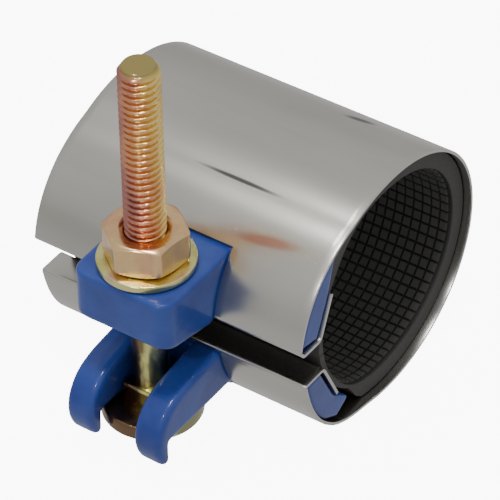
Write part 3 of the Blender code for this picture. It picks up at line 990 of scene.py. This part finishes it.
# %% Turn the bolt's blank
def lathe(name, profile, material, segments=96):
    """Spin (radius, height) points round the bolt's axis; either may be a function of the angle."""
    bm = bmesh.new()
    rings = []
    for radius, height in profile:
        if radius == 0:
            rings.append([bm.verts.new((0, BOLT_Y, height))])
            continue
        ring = []
        for i in range(segments):
            turn = 2 * math.pi * i / segments
            r = radius(turn) if callable(radius) else radius
            z = height(turn) if callable(height) else height
            ring.append(bm.verts.new((r * math.cos(turn), BOLT_Y + r * math.sin(turn), z)))
        rings.append(ring)
    pairs = list(zip(rings, rings[1:]))
    if len(rings[0]) > 1:
        pairs.append((rings[-1], rings[0]))
    for above, below in pairs:
        for i in range(segments):
            follow = (i + 1) % segments
            corners = [above[i % len(above)], below[i % len(below)]]
            corners += [below[follow]] if len(below) > 1 else []
            corners += [above[follow]] if len(above) > 1 else []
            bm.faces.new(corners)
    bmesh.ops.recalc_face_normals(bm, faces=bm.faces)
    return add_piece(name, take_mesh(bm, name), material, 40)


def rounded_rim(radius, top, bottom, edge, steps=5):
    """Profile of a rim with rounded edges, from the top face to the bottom face."""
    points = []
    for i in range(steps + 1):
        turn = math.pi / 2 * (1 - i / steps)
        points.append((radius - edge + edge * math.cos(turn), top - edge + edge * math.sin(turn)))
    for i in range(steps + 1):
        turn = -math.pi / 2 * i / steps
        points.append((radius - edge + edge * math.cos(turn), bottom + edge + edge * math.sin(turn)))
    return points


HEAD_RADIUS = (bolt_high.x - bolt_low.x) / 2
HEAD_TOP = bolt_low.z + 5.8 * MM
HEAD_RIM = bolt_low.z + 1.8 * MM
NECK_TOP = HEAD_TOP + 5.0 * MM
NECK_HALF = 5.2 * MM
NECK_EDGE = 0.7 * MM
NECK_SUNK = 1.0 * MM
HEAD_EDGE = 0.7 * MM
HEAD_FILLET = 0.5 * MM
THREAD_OVERLAP = 1.5 * MM
SHANK_CLEARANCE = 0.05 * MM


def make_blank():
    dome = [(HEAD_RADIUS * math.sin(t), bolt_low.z + (HEAD_RIM - bolt_low.z) * (1 - math.cos(t)))
            for t in [math.pi / 2 * (1 - i / 10) for i in range(3, 10)]]
    tenon_top = THREAD_START + THREAD_OVERLAP
    profile = [(0, tenon_top), (SHANK_RADIUS - SHANK_CLEARANCE, tenon_top)]
    profile += [(SHANK_RADIUS, THREAD_START), (SHANK_RADIUS, HEAD_TOP + HEAD_FILLET)]
    profile += [(SHANK_RADIUS + HEAD_FILLET, HEAD_TOP)]
    profile += rounded_rim(HEAD_RADIUS, HEAD_TOP, HEAD_RIM, HEAD_EDGE)[:-3]
    profile += dome + [(0, bolt_low.z)]
    blank = lathe("bolt_blank", profile, blank_plating)
    bm = bmesh.new()
    bmesh.ops.create_cube(bm, size=1.0)
    neck_height = NECK_TOP - HEAD_TOP + NECK_SUNK
    bmesh.ops.scale(bm, vec=(2 * NECK_HALF, 2 * NECK_HALF, neck_height), verts=bm.verts)
    bmesh.ops.translate(bm, vec=(0, BOLT_Y, (NECK_TOP + HEAD_TOP - NECK_SUNK) / 2), verts=bm.verts)
    bmesh.ops.bevel(bm, geom=bm.edges, offset=NECK_EDGE, segments=3, affect="EDGES", profile=0.5)
    neck = bpy.data.objects.new("neck", take_mesh(bm, "neck"))
    bpy.context.scene.collection.objects.link(neck)
    join = blank.modifiers.new("neck", "BOOLEAN")
    join.operation = "UNION"
    join.object = neck
    apply_modifiers(blank)
    bpy.data.objects.remove(neck)
    blank.data.materials.clear()
    blank.data.materials.append(blank_plating)
    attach(blank, "bolt")
    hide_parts("clamp_bolt")
    return blank


bolt_blank = make_blank()
print("blank faces:", len(bolt_blank.data.polygons))

# %% Turn the washer
WASHER_RADIUS = (washer_high.x - washer_low.x) / 2
WASHER_HOLE = 5.6 * MM
WASHER_EDGE = 0.45 * MM
HOLE_EDGE = 0.3 * MM


def make_washer():
    profile = rounded_rim(WASHER_RADIUS, washer_high.z, washer_low.z, WASHER_EDGE)
    profile += [(WASHER_HOLE, washer_low.z), (WASHER_HOLE, washer_high.z - HOLE_EDGE)]
    profile += [(WASHER_HOLE + HOLE_EDGE, washer_high.z)]
    piece = lathe("plain_washer", profile, washer_plating)
    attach(piece, "washer")
    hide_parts("washer")
    return piece


washer_piece = make_washer()
print("washer", round(2 * WASHER_RADIUS / MM, 1), "mm across")

# %% Turn the hexagon nut
NUT_FLATS = 18.4 * MM
NUT_TURN = math.radians(23.0)
NUT_BORE = 5.25 * MM
CHAMFER_SLOPE = math.tan(math.radians(30))


def hexagon(shrink=0.0, corner=0.25 * MM):
    """Radius of the hexagon as a function of the angle, with its corners slightly blunted."""
    flat = NUT_FLATS / 2 - shrink
    longest = flat / math.cos(math.radians(30)) - corner

    def radius(turn):
        off_flat = (turn - NUT_TURN + math.pi / 6) % (math.pi / 3) - math.pi / 6
        return min(flat / math.cos(math.pi / 6 - abs(off_flat)), longest)

    return radius


def make_nut():
    outline = hexagon()
    cone_start = NUT_FLATS / 2 - 0.35 * MM
    top, bottom = nut_high.z, nut_low.z

    def drop(turn):
        return max(outline(turn) - cone_start, 0) * CHAMFER_SLOPE

    inset = hexagon(0.12 * MM)
    profile = [
        (NUT_BORE, top - 1.0 * MM), (NUT_BORE + 0.85 * MM, top - 0.12 * MM), (NUT_BORE + 1.0 * MM, top),
        (cone_start - 0.2 * MM, top), (cone_start, top - 0.02 * MM),
        (inset, lambda turn: top - drop(turn) + 0.02 * MM),
        (outline, lambda turn: top - drop(turn) - 0.12 * MM),
        (outline, lambda turn: bottom + drop(turn) + 0.12 * MM),
        (inset, lambda turn: bottom + drop(turn) - 0.02 * MM),
        (cone_start, bottom + 0.02 * MM), (cone_start - 0.2 * MM, bottom),
        (NUT_BORE + 0.8 * MM, bottom), (NUT_BORE, bottom + 0.8 * MM),
    ]
    piece = lathe("hexagon_nut", profile, nut_plating, 180)
    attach(piece, "nut")
    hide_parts("nut")
    return piece


nut_piece = make_nut()
print("nut faces:", len(nut_piece.data.polygons))

# %% [markdown]
# ## Floor and light
# Bright metal shows only what stands around it. A white floor under the clamp would flood every face
# that looks down, so the floor glows for the camera and is left out of the reflections. An even grey
# sky gives the sheet its calm tone, and a few lamps add the highlights that tell its shape.

# %% Set the floor and the sky
FLOOR_HALF = 4.0
FLOOR_DROP = 0.5 * MM
FLOOR_GLOW = 9.0
# height in the sky from 0 at the bottom to 1 at the top, colour
SKY_TONES = (
    (0.25, (0.62, 0.62, 0.62, 1)),
    (0.50, (0.50, 0.50, 0.49, 1)),
    (0.72, (0.64, 0.64, 0.63, 1)),
)


def make_floor():
    low, _ = cad_bounds
    bm = bmesh.new()
    bmesh.ops.create_grid(bm, x_segments=1, y_segments=1, size=FLOOR_HALF)
    bmesh.ops.translate(bm, vec=(0, 0, low[2] - FLOOR_DROP), verts=bm.verts)
    material, shader = start_material("white_floor", (0.9, 0.9, 0.9), 0.9)
    shader.inputs["Emission Color"].default_value = (1, 1, 1, 1)
    shader.inputs["Emission Strength"].default_value = FLOOR_GLOW
    floor = add_piece("floor", take_mesh(bm, "floor"), material)
    floor.visible_diffuse = False
    floor.visible_glossy = False
    floor.visible_shadow = False
    return floor


def make_sky():
    """Grey all round, a little darker towards the horizon."""
    world = bpy.data.worlds.new("studio")
    world.use_nodes = True
    nodes, links = world.node_tree.nodes, world.node_tree.links
    place = nodes.new("ShaderNodeTexCoord")
    split = nodes.new("ShaderNodeSeparateXYZ")
    ramp = nodes.new("ShaderNodeValToRGB")
    elements = ramp.color_ramp.elements
    elements[0].position, elements[0].color = SKY_TONES[0]
    elements[1].position, elements[1].color = SKY_TONES[2]
    elements.new(SKY_TONES[1][0]).color = SKY_TONES[1][1]
    spread = nodes.new("ShaderNodeMapRange")
    spread.inputs["From Min"].default_value = -1.0
    links.new(place.outputs["Generated"], split.inputs["Vector"])
    links.new(split.outputs["Z"], spread.inputs["Value"])
    links.new(spread.outputs["Result"], ramp.inputs["Fac"])
    links.new(ramp.outputs["Color"], nodes["Background"].inputs["Color"])
    bpy.context.scene.world = world
    return world


floor = make_floor()
sky = make_sky()
print("floor at", round(floor.data.vertices[0].co.z / MM, 1), "mm")

# %% Hang the lamps
# name, place, target, width and height in metres, power in watts
LAMPS = (
    ("window", (-0.21, -0.03, 0.75), (0.02, -0.018, 0.03), (0.12, 0.04), 0.55),
    ("overhead", (0.07, -0.16, 0.9), (0, 0, 0), (0.14, 0.14), 3.0),
    ("front_spot", (0.1, -0.8, 0.75), (0, -0.03, 0), (0.045, 0.045), 2.0),
)


def add_lamp(name, place, target, size, power):
    data = bpy.data.lights.new(name, "AREA")
    data.shape = "RECTANGLE"
    data.size, data.size_y = size
    data.energy = power
    lamp = bpy.data.objects.new(name, data)
    lamp.location = place
    aim = Vector(target) - Vector(place)
    lamp.rotation_euler = aim.to_track_quat("-Z", "Y").to_euler()
    bpy.context.scene.collection.objects.link(lamp)
    return lamp


for lamp in LAMPS:
    add_lamp(*lamp)
print("lamps:", [lamp[0] for lamp in LAMPS])

# %% [markdown]
# ## The imported model's box
# The visible model must fill the imported model's box and no more; the imported box is printed here.

# %% Print the imported box
print("cad box:", [[round(v / MM, 2) for v in corner] for corner in cad_bounds])
